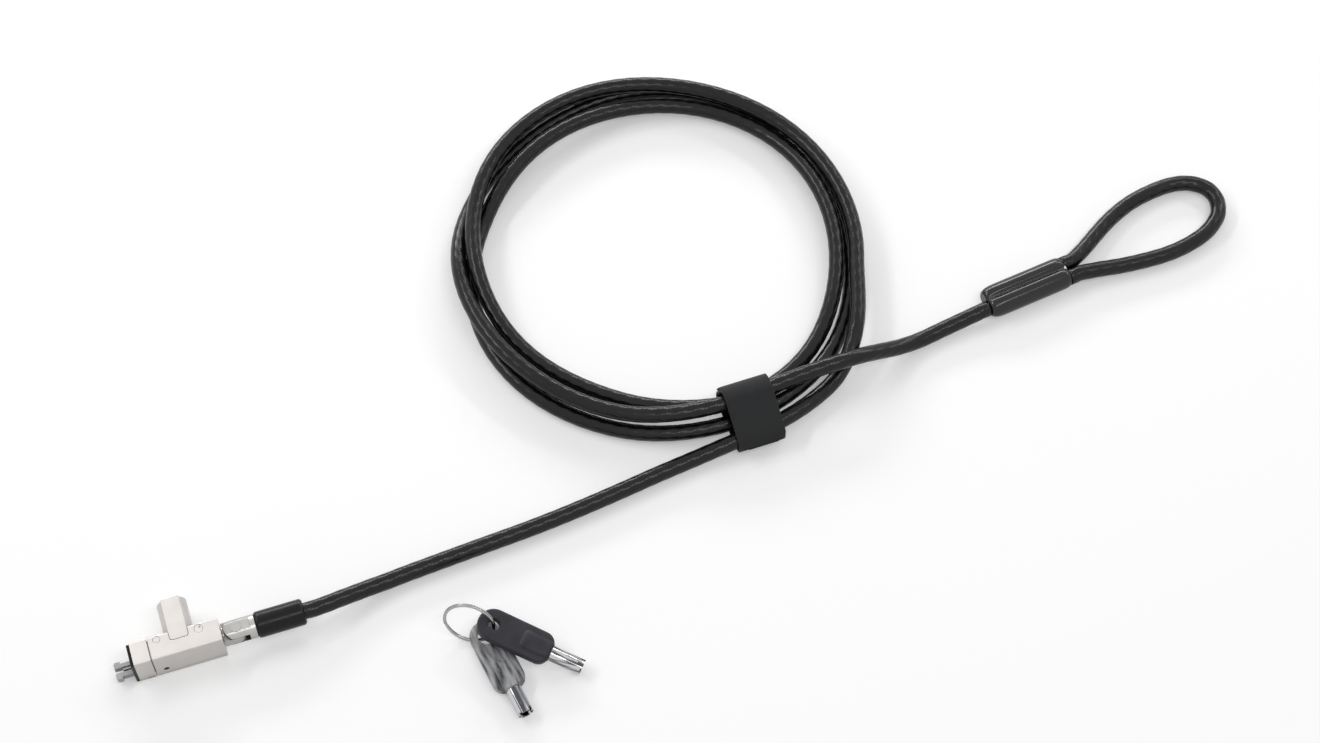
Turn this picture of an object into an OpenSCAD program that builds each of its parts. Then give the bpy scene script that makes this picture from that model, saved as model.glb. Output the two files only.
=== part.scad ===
// Cable lock for a computer security slot: a lock head with two hooks, a swivelling
// coated steel cable in a tied coil, an end loop, and two tubular keys on a ring.
// Units are millimetres. The head lies along X with its hooks towards -X, the key
// barrel points to +Y and the surface that everything lies on is z = 0.

/* [Head housing] */
// Length of the main housing
housing_len = 24.6; // [22.6:0.2:28]
// Width of the housing and the collar
housing_w = 8.8; // [8.6:0.1:9.6]
// Height of the housing and the collar
housing_h = 13.5; // [13.4:0.1:15]
// Radius of the long edges
edge_r = 0.6; // [0.3:0.1:0.9]
// Length of the front collar
collar_len = 5.9; // [5.4:0.1:8]
// Open seam between the collar and the housing
seam = 0.5; // [0.3:0.1:0.8]
// Thickness of the rubber gasket on the nose
gasket_t = 1.1; // [0.8:0.1:1.6]

/* [Key barrel] */
// Outer diameter of the round lock barrel
barrel_d = 10.4; // [10:0.1:10.8]
// How far the barrel stands out of the housing
barrel_out = 12.5; // [11.5:0.1:16]
// Width of the flat rib on top of the barrel
rib_w = 6.4; // [5.6:0.1:7]
// Where the barrel axis crosses the head, measured from the housing's middle
barrel_x = -1.6; // [-1.8:0.1:-1.2]
// Outer diameter of the turning plug
plug_d = 7.4; // [7:0.1:7.8]
// Number of tumblers around the keyway
tumblers = 7; // [5:1:8]

/* [Latch] */
// Radius of the drive cam's crank pin circle
crank_r = 1.2; // [0.9:0.05:1.25]
// Thickness of the two hooks
hook_t = 2.6; // [2:0.1:2.8]
// Width over the closed hooks at their barbs
hook_span = 6.5; // [6:0.1:6.8]
// How far the hooks stand out of the gasket
hook_reach = 6.2; // [5:0.1:7.5]

/* [Swivel] */
// Outer diameter of the yoke that holds the cable
yoke_d = 8.4; // [8:0.1:8.8]
// Diameter of the shank that turns in the housing
shank_d = 5; // [4.6:0.1:5.4]
// Gap from the housing to the axis of the hinge pin
pin_gap = 5.2; // [5:0.1:7]
// Diameter of the hinge pin
pin_d = 2.4; // [2:0.1:2.8]
// Diameter of the hinge pin's head
pin_head_d = 4; // [3.4:0.1:4.4]

/* [Cable] */
// Outer diameter of the coated cable
cable_d = 6; // [5.6:0.1:6.2]
// Diameter of the bare steel rope inside
core_d = 3.6; // [3:0.1:4.2]
// Length of the moulded sleeve behind the yoke
sleeve_len = 17.4; // [15:0.2:22]
// Outer diameter of the sleeve
sleeve_d = 9.4; // [9:0.1:9.8]
// Mean radius of the coil
coil_r = 72.9; // [71.5:0.1:74]
// Width of the tie strap
strap_w = 18; // [14:0.5:19]
// Thickness of the tie strap
strap_t = 1.1; // [0.8:0.1:1.3]

/* [End loop] */
// Length of the double sleeve that closes the loop
ferrule_len = 34; // [33:0.5:36]
// Width of the double sleeve
ferrule_w = 13; // [12.6:0.1:14]
// Height of the double sleeve
ferrule_h = 8.6; // [8.2:0.1:9.4]

/* [Keys] */
// Length of a key's grip
grip_len = 28; // [27:0.5:30]
// Width of a key's grip
grip_w = 11.8; // [11:0.1:12.2]
// Thickness of the grip at its ring end
grip_t = 3.6; // [3.2:0.1:3.7]
// Outer diameter of the key's tube
key_tube_d = 5.6; // [5.4:0.1:5.6]
// Inner diameter of the key's tube
key_tube_bore = 4.3; // [4.1:0.1:4.5]
// How far the black key's tube stands out of its grip
black_tube_out = 12; // [10:0.5:14]
// How far the grey key's tube stands out of its grip
grey_tube_out = 10; // [9:0.5:13]
// Diameter of the ring's hole in the black key
black_hole_d = 4.2; // [4.2:0.1:4.8]
// Diameter of the ring's hole in the grey key, which the ring crosses at a slant
grey_hole_d = 6.4; // [6.2:0.1:6.8]
// Mean radius of the key ring
ring_r = 8.8; // [8.7:0.05:8.9]
// Diameter of the ring's wire
ring_wire_d = 1; // [0.8:0.1:1]

/* [Hidden] */
$fn = 48;

running = 0.05;      // radial clearance of a shaft in its bore
gap = 0.3;           // clearance between pieces that pass each other
eps = 0.01;

// Head: places along X
rear_x = housing_len / 2;
seam_x = -housing_len / 2;
collar_x1 = seam_x - seam;
collar_x0 = collar_x1 - collar_len;
nose_x = collar_x0 - gasket_t;
tip_x = nose_x - hook_reach;
side_y = housing_w / 2;

// Latch channel at the bottom of the head
channel_z = 1.4;
hook_z = channel_z + 0.2;
channel_h = hook_t + 0.4;
slider_h = 3.6;
slider_y0 = -3.4;
slider_y1 = 0.4;
stroke = 2 * crank_r * sin(45);

// Key barrel: axis along Y at this height, from its inner floor to its face
barrel_z = housing_h - 5.3;
face_y = side_y + barrel_out;
floor_y = 0.9;
rib_r = 1;
cartridge_floor_t = 0.8;
mouth_w = 0.2;        // how far the slot and the pin seats open at the surface
mouth_h = 0.35;
block_y0 = floor_y + cartridge_floor_t;
block_len = 7.6;
block_y1 = block_y0 + block_len;
plug_y0 = block_y1 + 0.1;
face_lip = 0.6;
plug_y1 = face_y - face_lip - 0.05;
spindle_d = 2.8;
post_d = key_tube_bore - 0.4;
keyway_d = key_tube_d + 0.3;
keyway_depth = 4.6;
tumbler_r = (key_tube_bore + key_tube_d) / 4;
tumbler_d = 0.8;
tumbler_hole_d = 0.92;
spring_len = 3.2;
spring_bore = 0.4;

// Cam chamber behind the barrel
chamber_y0 = -side_y + 0.7;
chamber_half = 4.2;
chamber_top = barrel_z + 3.8;
cam_d = 6.4;
cam_y0 = -0.7;
cam_y1 = floor_y - 0.2;
crank_pin_d = 2;
crank_pin_y0 = chamber_y0 + 0.3;

// Swivel: axis along X at this height
swivel_z = 7.5;
shank_x0 = 4.3;
shank_groove_r = 1.55;
swivel_pin_x = 5.4;
swivel_pin_d = 1.2;
swivel_head_d = 3;
swivel_pin_y = shank_groove_r + swivel_pin_d / 2 + running;
hinge_x = rear_x + pin_gap;
flange_x0 = rear_x + gap;
flange_x1 = hinge_x - yoke_d / 2 - gap;
tongue_r = 3.7;
tongue_h = 3.5;
cheek_gap = 0.25;
cheek_t = 1.75;
yoke_root_x = hinge_x + tongue_r + 0.4;
yoke_x1 = yoke_root_x + 2.6;
sleeve_x0 = yoke_x1;
sleeve_x1 = sleeve_x0 + sleeve_len;
crimp_x1 = sleeve_x0 + 11;
crimp_d = 7.2;
yoke_stub_d = 6;

// Collar and its hooks
hook_pin_x = collar_x1 - 1.2;
hook_pin_y = 2.45;
hook_pin_d = 1;
lug_half = 0.95;
hook_gap = 1.8;
tail_gap = 3.2;
barb_len = 2.2;
shank_w = 1.55;
blade_w = 0.7;
collar_tongue_len = 4.6;
collar_tongue_z0 = 5.6;
collar_tongue_h = 4.6;
collar_pin_x = seam_x + 3;
collar_pin_y = 2.6;
collar_head_d = 2.4;
stop_x = seam_x + 3.5;
stop_z = 4.0;
stop_d = 1.8;

// A bar along X with rounded long edges, standing on z = 0
module edge_bar(x0, len, w, h, r) {
    translate([x0, 0, 0])
        rotate([90, 0, 90])
            linear_extrude(len) {
                translate([-w / 2 + r, 0]) square([w - 2 * r, h]);
                translate([-w / 2, r]) square([w, h - 2 * r]);
                for (y = [-w / 2 + r, w / 2 - r], z = [r, h - r])
                    translate([y, z]) circle(r);
            }
}

module box(x0, x1, y0, y1, z0, z1) {
    translate([x0, y0, z0]) cube([x1 - x0, y1 - y0, z1 - z0]);
}

// A cylinder along X, Y or Z from one coordinate to another
module rod_x(x0, x1, y, z, d) {
    translate([x0, y, z]) rotate([0, 90, 0]) cylinder(d = d, h = x1 - x0);
}

module rod_y(y0, y1, x, z, d) {
    translate([x, y0, z]) rotate([-90, 0, 0]) cylinder(d = d, h = y1 - y0);
}

module rod_z(z0, z1, x, y, d) {
    translate([x, y, z0]) cylinder(d = d, h = z1 - z0);
}

// The flat rib on the barrel, with a rounded inner end; grow widens it for its slot
module rib_outline(grow) {
    r = rib_r + grow;
    w = rib_w / 2 + grow;
    y0 = floor_y - grow;
    translate([barrel_x, 0]) {
        translate([-w, y0 + r]) square([2 * w, face_y - y0 - r]);
        translate([-w + r, y0]) square([2 * w - 2 * r, r]);
        for (x = [-w + r, w - r]) translate([x, y0 + r]) circle(r);
    }
}

module housing() {
    color("lightgray")
        difference() {
            edge_bar(seam_x, housing_len, housing_w, housing_h, edge_r);
            // seat of the barrel and the slot of its rib
            rod_y(floor_y, side_y + 1, barrel_x, barrel_z, barrel_d + 2 * running);
            translate([0, 0, barrel_z]) linear_extrude(housing_h) rib_outline(running);
            translate([0, 0, housing_h - mouth_h]) linear_extrude(1) rib_outline(mouth_w);
            // cam chamber
            box(barrel_x - chamber_half, barrel_x + chamber_half,
                chamber_y0, floor_y + eps, channel_z, chamber_top);
            // latch channel from the chamber to the front
            box(seam_x - 1, barrel_x, slider_y0 - 0.2, slider_y1 + 0.2,
                channel_z, channel_z + slider_h + 0.3);
            // socket of the collar's tongue and the pin through it
            box(seam_x - 1, seam_x + collar_tongue_len + 0.2, 1, 3.8,
                collar_tongue_z0 - 0.1, collar_tongue_z0 + collar_tongue_h + 0.1);
            rod_z(collar_tongue_z0 - 1.5, housing_h + 1, collar_pin_x, collar_pin_y, 1.4 + 2 * running);
            rod_z(housing_h - 0.6, housing_h + 1, collar_pin_x, collar_pin_y, collar_head_d + 2 * running);
            rod_z(housing_h - mouth_h, housing_h + 1, collar_pin_x, collar_pin_y, collar_head_d + mouth_w);
            // bore of the swivel shank and the pin beside it
            rod_x(shank_x0 - 0.15, rear_x + 1, 0, swivel_z, shank_d + 2 * running);
            rod_z(2, housing_h + 1, swivel_pin_x, swivel_pin_y, swivel_pin_d + 2 * running);
            rod_z(housing_h - 0.6, housing_h + 1, swivel_pin_x, swivel_pin_y, swivel_head_d + 2 * running);
            rod_z(housing_h - mouth_h, housing_h + 1, swivel_pin_x, swivel_pin_y, swivel_head_d + mouth_w);
            // hole of the stop screw
            rod_y(-side_y - 1, slider_y0, stop_x, stop_z, stop_d + 2 * running);
        }
}

// Front block: carries the hooks and joins the housing with a tongue
module nose_collar() {
    color("silver")
        difference() {
            union() {
                edge_bar(collar_x0, collar_len, housing_w, housing_h, edge_r);
                box(collar_x1 - eps, seam_x + collar_tongue_len, 1.1, 3.7,
                    collar_tongue_z0, collar_tongue_z0 + collar_tongue_h);
                // land that closes the seam below the surface
                box(collar_x1 - eps, seam_x, -side_y + 0.8, side_y - 0.8, 5.4, housing_h - 0.8);
            }
            box(collar_x0 - 1, collar_x1 + 1, -3.75, 3.75, channel_z, channel_z + channel_h);
            box(hook_pin_x - 1.4, collar_x1 + 1, slider_y0 - 0.2, slider_y1 + 0.2,
                channel_z, channel_z + slider_h + 0.3);
            for (s = [-1, 1])
                rod_z(0.4, 6.4, hook_pin_x, s * hook_pin_y, hook_pin_d + 2 * running);
            rod_z(collar_tongue_z0 - 1, collar_tongue_z0 + collar_tongue_h + 1,
                  collar_pin_x, collar_pin_y, 1.4 + 2 * running);
            // notch at the lower front edge
            box(collar_x1 - 2.9, collar_x1 - 0.5, -side_y - 1, -side_y + 0.5, 0.5, 1.2);
        }
}

module nose_gasket() {
    color("#151515")
        difference() {
            edge_bar(nose_x, gasket_t, housing_w - 0.2, housing_h - 0.6, edge_r);
            box(nose_x - 1, collar_x0 + 1, -3.75, 3.75, channel_z, channel_z + channel_h);
        }
}

// Fixed barrel: a round shell with a flat rib on top that slides into the housing
module lock_cartridge() {
    color("lightgray")
        difference() {
            union() {
                rod_y(floor_y, face_y, barrel_x, barrel_z, barrel_d);
                translate([0, 0, barrel_z])
                    linear_extrude(housing_h - barrel_z) rib_outline(0);
            }
            rod_y(floor_y + cartridge_floor_t, face_y - face_lip, barrel_x, barrel_z,
                  plug_d + 2 * running);
            rod_y(floor_y - 1, face_y + 1, barrel_x, barrel_z, spindle_d + 2 * running);
            rod_y(plug_y0, face_y + 1, barrel_x, barrel_z, keyway_d + 0.3);
        }
}

// Places the children once for every tumbler, around the barrel's axis
module each_tumbler() {
    for (i = [0 : tumblers - 1])
        translate([barrel_x, 0, barrel_z])
            rotate([0, 360 / tumblers * i, 0])
                translate([0, 0, tumbler_r]) children();
}

module tumbler_block() {
    color("#b9b2a0")
        difference() {
            rod_y(block_y0, block_y1, barrel_x, barrel_z, plug_d);
            rod_y(block_y0 - 1, block_y1 + 1, barrel_x, barrel_z, spindle_d + 2 * running);
            each_tumbler() rod_y(block_y0 + 0.8, block_y1 + 1, 0, 0, tumbler_hole_d);
        }
}

module driver_pins() {
    color("#c9a24a")
        each_tumbler() rod_y(block_y0 + 0.8 + spring_len, block_y1 - 0.05, 0, 0, tumbler_d);
}

module tumbler_springs() {
    color("silver")
        each_tumbler()
            difference() {
                rod_y(block_y0 + 0.8, block_y0 + 0.8 + spring_len - 0.05, 0, 0, tumbler_d);
                rod_y(block_y0, block_y1, 0, 0, spring_bore);
            }
}

module collar_pin() {
    color("silver") {
        rod_z(collar_tongue_z0 - 1.4, housing_h - 0.6, collar_pin_x, collar_pin_y, 1.4);
        rod_z(housing_h - 0.6, housing_h - 0.05, collar_pin_x, collar_pin_y, collar_head_d);
    }
}

module swivel_pin() {
    color("silver") {
        rod_z(2.1, housing_h - 0.6, swivel_pin_x, swivel_pin_y, swivel_pin_d);
        difference() {
            rod_z(housing_h - 0.6, housing_h - 0.05, swivel_pin_x, swivel_pin_y, swivel_head_d);
            rod_z(housing_h - 0.35, housing_h, swivel_pin_x + 0.5, swivel_pin_y + 0.5, 0.7);
        }
    }
}

// Headless screw whose end runs in a slot of the slider and stops its travel
module stop_screw() {
    color("#2a2a2a")
        difference() {
            rod_y(-side_y + 0.2, slider_y0 + 1, stop_x, stop_z, stop_d);
            rod_y(-side_y, -side_y + 0.9, stop_x, stop_z, 0.9, $fn = 6);
        }
}

module hook_pins() {
    color("silver")
        for (s = [-1, 1]) rod_z(0.5, 6.3, hook_pin_x, s * hook_pin_y, hook_pin_d);
}

// Turning plug: a ring keyway in front and the key pins' holes behind it
module key_plug() {
    color("#8f8a80")
        difference() {
            rod_y(plug_y0, plug_y1, barrel_x, barrel_z, plug_d);
            difference() {
                rod_y(plug_y1 - keyway_depth, plug_y1 + 1, barrel_x, barrel_z, keyway_d);
                rod_y(plug_y1 - keyway_depth - 1, plug_y1 + 2, barrel_x, barrel_z, post_d);
            }
            each_tumbler() rod_y(plug_y0 - 1, plug_y1 - keyway_depth + 0.1, 0, 0, tumbler_hole_d);
            // slot beside the keyway that takes the key's nib
            box(barrel_x - 0.6, barrel_x + 0.6, plug_y1 - keyway_depth, plug_y1 + 1,
                barrel_z + post_d / 2 + 0.3, barrel_z + keyway_d / 2 + 0.45);
        }
}

module plug_spindle() {
    color("#77736b")
        rod_y(cam_y0, plug_y0, barrel_x, barrel_z, spindle_d);
}

module key_pins() {
    color("#c9a24a")
        each_tumbler() rod_y(plug_y0 + 0.05, plug_y1 - keyway_depth - 0.1, 0, 0, tumbler_d);
}

// Disc on the spindle with a crank pin, 45 degrees behind its middle position
module drive_cam() {
    color("#77736b") {
        difference() {
            rod_y(cam_y0, cam_y1, barrel_x, barrel_z, cam_d);
            rod_y(cam_y0 - 1, cam_y1 + 1, barrel_x, barrel_z, spindle_d + 0.02);
        }
        rod_y(crank_pin_y0, cam_y0, barrel_x + crank_r * sin(45),
              barrel_z + crank_r * cos(45), crank_pin_d);
    }
}

// Sliding bar with an upright slotted plate behind and a spreading blade in front
module latch_slider() {
    plate_x = barrel_x + crank_r * sin(45);
    plate_half = 1.9;
    front_x = hook_pin_x + 0.1;
    bar_x0 = hook_pin_x + 1 + stroke + gap;
    color("#5d5a55")
        difference() {
            union() {
                box(bar_x0, plate_x + plate_half, slider_y0, slider_y1,
                    channel_z + 0.1, channel_z + slider_h);
                box(plate_x - plate_half, plate_x + plate_half, slider_y0, cam_y0 - 0.4,
                    channel_z + 0.1, barrel_z + crank_r + crank_pin_d / 2 + 0.9);
                // bar that reaches through the collar between the hook tails
                box(front_x - eps, bar_x0 + eps, -tail_gap / 2 + 0.25, slider_y1,
                    hook_z, hook_z + hook_t);
                // wedge and blade between the hooks
                translate([0, 0, hook_z])
                    linear_extrude(hook_t)
                        polygon([[front_x + 0.2, 1.35], [hook_pin_x - 2.2, 1.1], [hook_pin_x - 5.4, blade_w / 2],
                                 [tip_x + 2.8, blade_w / 2], [tip_x + 2.8, -blade_w / 2],
                                 [hook_pin_x - 5.4, -blade_w / 2], [hook_pin_x - 2.2, -1.1],
                                 [front_x + 0.2, -1.35]]);
            }
            // hollow that passes under the cam over the whole stroke
            for (x = [barrel_x, barrel_x + stroke])
                rod_y(cam_y0 - gap, slider_y1 + 1, x, barrel_z, cam_d + 2 * gap);
            box(barrel_x, barrel_x + stroke, cam_y0 - gap, slider_y1 + 1,
                barrel_z - cam_d / 2 - gap, barrel_z);
            // upright slot of the crank pin
            box(plate_x - crank_pin_d / 2 - 0.1, plate_x + crank_pin_d / 2 + 0.1,
                slider_y0 - 1, cam_y0, barrel_z + crank_r * cos(45) - crank_pin_d / 2 - 0.2,
                barrel_z + crank_r + crank_pin_d / 2 + 0.2);
            // side slot of the stop screw
            box(stop_x - stop_d / 2 - 0.1, stop_x + stop_d / 2 + stroke + 0.1,
                slider_y0 - 1, slider_y0 + 1.2, stop_z - stop_d / 2 - 0.1, channel_z + slider_h + 1);
        }
}

// One hook, for s = 1 on the far side and s = -1 on the near side
module hook(s) {
    color("#a9a7a3")
        difference() {
            translate([0, 0, hook_z + 0.02])
                linear_extrude(hook_t - 0.04)
                    polygon([for (p = [
                        [hook_pin_x + 1, tail_gap / 2],
                        [hook_pin_x - 1.6, tail_gap / 2 - 0.15],
                        [hook_pin_x - 4.2, hook_gap / 2],
                        [tip_x, hook_gap / 2],
                        [tip_x, hook_span / 2 - 0.5],
                        [tip_x + 0.5, hook_span / 2],
                        [tip_x + barb_len, hook_span / 2],
                        [tip_x + barb_len, hook_gap / 2 + shank_w],
                        [hook_pin_x - 2, hook_gap / 2 + shank_w],
                        [hook_pin_x - 1.3, hook_pin_y + lug_half],
                        [hook_pin_x + 1, hook_pin_y + lug_half]]) [p[0], s * p[1]]]);
            rod_z(0, 8, hook_pin_x, s * hook_pin_y, hook_pin_d + 2 * running);
        }
}

module far_hook() {
    hook(1);
}

module near_hook() {
    hook(-1);
}

// Rear link: a shank that turns in the housing and a tongue in the yoke's fork
module rear_link() {
    color("silver")
        difference() {
            union() {
                rod_x(shank_x0, rear_x + 0.4, 0, swivel_z, shank_d);
                rod_x(flange_x0, flange_x1, 0, swivel_z, 6.4);
                intersection() {
                    union() {
                        box(flange_x0 + eps, hinge_x, -tongue_r, tongue_r,
                            swivel_z - tongue_h / 2, swivel_z + tongue_h / 2);
                        rod_z(swivel_z - tongue_h / 2, swivel_z + tongue_h / 2, hinge_x, 0, 2 * tongue_r);
                    }
                    rod_x(rear_x, hinge_x + tongue_r + 1, 0, swivel_z, yoke_d - 0.1);
                }
            }
            // groove that the swivel pin holds
            difference() {
                rod_x(swivel_pin_x - swivel_pin_d / 2 - 0.1, swivel_pin_x + swivel_pin_d / 2 + 0.1,
                      0, swivel_z, shank_d + 1);
                rod_x(swivel_pin_x - 2, swivel_pin_x + 2, 0, swivel_z, 2 * shank_groove_r);
            }
            rod_z(swivel_z - 3, swivel_z + 3, hinge_x, 0, pin_d + 2 * running);
        }
}

// Forked yoke: two cheeks around the tongue and a stub in the cable sleeve
module swivel_yoke() {
    slot_half = tongue_h / 2 + cheek_gap;
    cheek_x0 = hinge_x - yoke_d / 2;
    over = swivel_z + yoke_d;      // well above the yoke
    color("silver")
        difference() {
            union() {
                intersection() {
                    rod_x(cheek_x0, yoke_x1, 0, swivel_z, yoke_d);
                    union() {
                        rod_z(0, over, hinge_x, 0, yoke_d);
                        box(hinge_x, yoke_x1, -yoke_d, yoke_d, 0, over);
                    }
                    box(cheek_x0, yoke_x1, -yoke_d, yoke_d,
                        swivel_z - slot_half - cheek_t, swivel_z + slot_half + cheek_t);
                }
                rod_x(yoke_root_x + 1, yoke_x1, 0, swivel_z, yoke_d);
                rod_x(yoke_x1 - eps, yoke_x1 + 3, 0, swivel_z, yoke_stub_d);
            }
            box(cheek_x0 - 1, yoke_root_x, -yoke_d, yoke_d, swivel_z - slot_half, swivel_z + slot_half);
            rod_z(0, over, hinge_x, 0, pin_d + 0.02);
            rod_z(swivel_z + slot_half + cheek_t - 0.5, over, hinge_x, 0, pin_head_d + 0.02);
        }
}

module hinge_pin() {
    slot_half = tongue_h / 2 + cheek_gap;
    top = swivel_z + slot_half + cheek_t;
    color("#c8c8ce") {
        rod_z(swivel_z - slot_half - cheek_t, top - 0.5, hinge_x, 0, pin_d);
        rod_z(top - 0.5, top + 0.1, hinge_x, 0, pin_head_d);
    }
}

module crimp_ferrule() {
    color("#b0aeaa")
        difference() {
            rod_x(yoke_x1 + 3, crimp_x1, 0, swivel_z, crimp_d);
            rod_x(yoke_x1 + 4, crimp_x1 + 1, 0, swivel_z, core_d + 0.02);
        }
}

module cable_core_end() {
    color("#c6c6c6") rod_x(yoke_x1 + 4, crimp_x1, 0, swivel_z, core_d);
}

// Moulded sleeve over the yoke's stub, the crimp and the cable's end
module cable_sleeve() {
    r = 1.2;
    color("#161616")
        difference() {
            translate([sleeve_x0, 0, swivel_z])
                rotate([0, 90, 0])
                    rotate_extrude() {
                        square([sleeve_d / 2 - r, sleeve_len]);
                        translate([0, r]) square([sleeve_d / 2, sleeve_len - 2 * r]);
                        for (z = [r, sleeve_len - r]) translate([sleeve_d / 2 - r, z]) circle(r);
                    }
            rod_x(sleeve_x0 - 1, yoke_x1 + 3, 0, swivel_z, yoke_stub_d + 0.02);
            rod_x(yoke_x1 + 3 - eps, crimp_x1, 0, swivel_z, crimp_d + 0.02);
            rod_x(crimp_x1 - eps, sleeve_x1 + 1, 0, swivel_z, cable_d + 0.1);
        }
}

// ---- Cable ----------------------------------------------------------------

function unit(v) = v / norm(v);
function ease(t) = let (u = min(1, max(0, t))) u * u * (3 - 2 * u);

// Points of a smooth curve through p, with n steps from one point to the next
function spline(p, n) = [
    for (i = [0 : len(p) - 2], k = [0 : n - 1])
        let (a = p[max(i - 1, 0)], b = p[i], c = p[i + 1], d = p[min(i + 2, len(p) - 1)], t = k / n)
            0.5 * (2 * b + (c - a) * t + (2 * a - 5 * b + 4 * c - d) * t * t
                   + (3 * b - a - 3 * c + d) * t * t * t),
    p[len(p) - 1]
];

// Round tube along points, as rings of equal sides; no run may be upright
module tube(p, d, sides) {
    n = len(p);
    dir = [for (i = [0 : n - 1]) unit(p[min(i + 1, n - 1)] - p[max(i - 1, 0)])];
    rings = [
        for (i = [0 : n - 1])
            let (out = unit(cross(dir[i], [0, 0, 1])), up = cross(out, dir[i]))
                for (k = [0 : sides - 1])
                    p[i] + d / 2 * (cos(360 * k / sides) * up + sin(360 * k / sides) * out)
    ];
    side_faces = [
        for (i = [0 : n - 2], k = [0 : sides - 1], half = [0, 1])
            let (a = i * sides + k, b = i * sides + (k + 1) % sides)
                half == 0 ? [a, a + sides, b] : [b, a + sides, b + sides]
    ];
    caps = [
        for (k = [1 : sides - 2], end = [0, 1])
            end == 0 ? [0, k, k + 1]
                     : [(n - 1) * sides, (n - 1) * sides + k + 1, (n - 1) * sides + k]
    ];
    polyhedron(rings, concat(side_faces, caps));
}

lie = cable_d / 2 + 0.1;   // height of the cable's middle where it lies on the surface

// The coil: strands lie as a three-strand bundle that rolls over as it goes round.
// Each strand sits at one corner of a triangle; the whole bundle rests on the surface
// and is lifted a little where the strap passes under it. The coil isn't quite round:
// each list of waves gives a size's change round it, as the cosine and sine of one,
// two and three times the angle from the strap.
coil_x = 204.2;
coil_y = 99.1;
coil_start = -80.5;
coil_turns = 3;
bundle_half_h = 3.89;
bundle_half_w = 4.95;
radius_waves = [[-4.69, 3.6], [1.35, -0.51], [0.61, 0.61]];
width_waves = [[-0.05, -0.69], [0.38, -0.78], [-0.92, -0.22]];
roll_waves = [[41.3, -23.7], [-8.4, -15.9], [9.9, 14.9]];
roll_at_strap = 90;
roll_per_turn = 120;     // each strand takes the next one's place
roll_rounding = 9;      // softens the change from one lowest strand to the next
strap_slack = 0.45;
strap_lift = 1.5;
entry_out = 10.6;       // the first strand comes in beside the others...
entry_from = 23;
entry_deg = 40;
climb_from = 20;        // ...and climbs onto them
climb_deg = 22;
exit_in = 1;
exit_up = 0.5;
exit_deg = 50;
lift_from = 12;
lift_deg = 28;

function wave(w, a) =
    w[0] * [cos(a), sin(a)] + w[1] * [cos(2 * a), sin(2 * a)]
    + w[2] * [cos(3 * a), sin(3 * a)];
function bundle_roll(t) = roll_at_strap + roll_per_turn * t
    + wave(roll_waves, 360 * t) - wave(roll_waves, 0);
function lowest(roll) = let (off = (roll - 30) % roll_per_turn - roll_per_turn / 2)
    -sin(30 + sqrt(off * off + roll_rounding * roll_rounding));
function lift(t) =
    strap_lift * (1 - ease((abs(t - round(t)) * 360 - lift_from) / lift_deg));

function coil_point(t) = let (
        a = 360 * t,
        roll = bundle_roll(t),
        w = bundle_half_w + wave(width_waves, a),
        e = 1 - ease((a - entry_from) / entry_deg),
        up = ease((a - climb_from) / climb_deg),
        g = ease((t - coil_turns) * 360 / exit_deg + 1),
        r = coil_r + wave(radius_waves, a) + w * cos(roll) + entry_out * e - exit_in * g,
        z = lie + bundle_half_h * (sin(roll) - lowest(roll)) * up + exit_up * g
    ) [coil_x + r * cos(coil_start + a), coil_y + r * sin(coil_start + a), z + lift(t)];

// The tube's rings stand closer together from just before the strap to where the first
// pass has climbed onto the others: wide sides would cut the corners there
ring_deg = 15;
close_before = 15;
close_after = 75;
ring_angles = [
    for (a = [0 : ring_deg : 360 - ring_deg])
        each a < close_after || a >= 360 - close_before ? [a, a + ring_deg / 2] : [a]
];
coil_curve = [
    for (k = [0 : coil_turns - 1], a = ring_angles) coil_point(k + a / 360),
    coil_point(coil_turns)
];
coil_last = len(coil_curve) - 1;
coil_in_dir = unit(coil_point(0.01) - coil_curve[0]);
coil_out_dir = unit(coil_curve[coil_last] - coil_point(coil_turns - 0.01));
coil_in = coil_curve[0] - cable_d * coil_in_dir;
coil_out = coil_curve[coil_last] + cable_d * coil_out_dir;
coil_route = concat([coil_in], coil_curve, [coil_out]);

// The least gap is measured along the tube as drawn, its straight ends included, and
// not only from ring to ring: the sides between two rings cut the curve's corners
per_side = 4;
drawn = [
    for (i = [0 : len(coil_route) - 2], k = [0 : per_side - 1])
        coil_route[i] + (coil_route[i + 1] - coil_route[i]) * k / per_side,
    coil_out
];
half_turn = len(ring_angles) * per_side / 2;
coil_least = min([
    for (i = [0 : len(drawn) - 1 - half_turn], j = [i + half_turn : len(drawn) - 1])
        norm(drawn[i] - drawn[j])
]) - cable_d;
echo(coil_least_gap_to_itself_mm = coil_least);

// Free stretch from the sleeve to the coil, chosen by hand
lock_points = [
    [42, 0, 7.5], [45.5, 0, 7.4], [50, 0.5, 7], [55, 1.4, 6.2], [60, 2.3, 5.2], [66, 3.3, 4.2],
    [72, 4.1, 3.4], [79, 4.9, lie], [87, 5.5, lie], [95, 6.1, lie], [105, 6.8, lie],
    [114, 7.4, lie], [124, 8.1, lie], [134, 9, lie], [144, 10.1, lie], [154, 11.4, lie],
    [164, 12.8, lie], [174, 14.3, lie], [183, 15.5, lie], [192, 16.6, 3.2], [200.5, 17.4, 3.9]
];
// Each end of a stretch runs straight for a little, so that it meets its neighbour square
lead = cable_d / 4;
function leaving(at, dir) = [for (k = [0 : 2]) at + k * lead * dir];
function arriving(at, dir) = [for (k = [2 : -1 : 0]) at - k * lead * dir];

lock_route = concat(leaving([crimp_x1, 0, swivel_z], [1, 0, 0]), lock_points,
                    arriving(coil_in, coil_in_dir));

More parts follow.
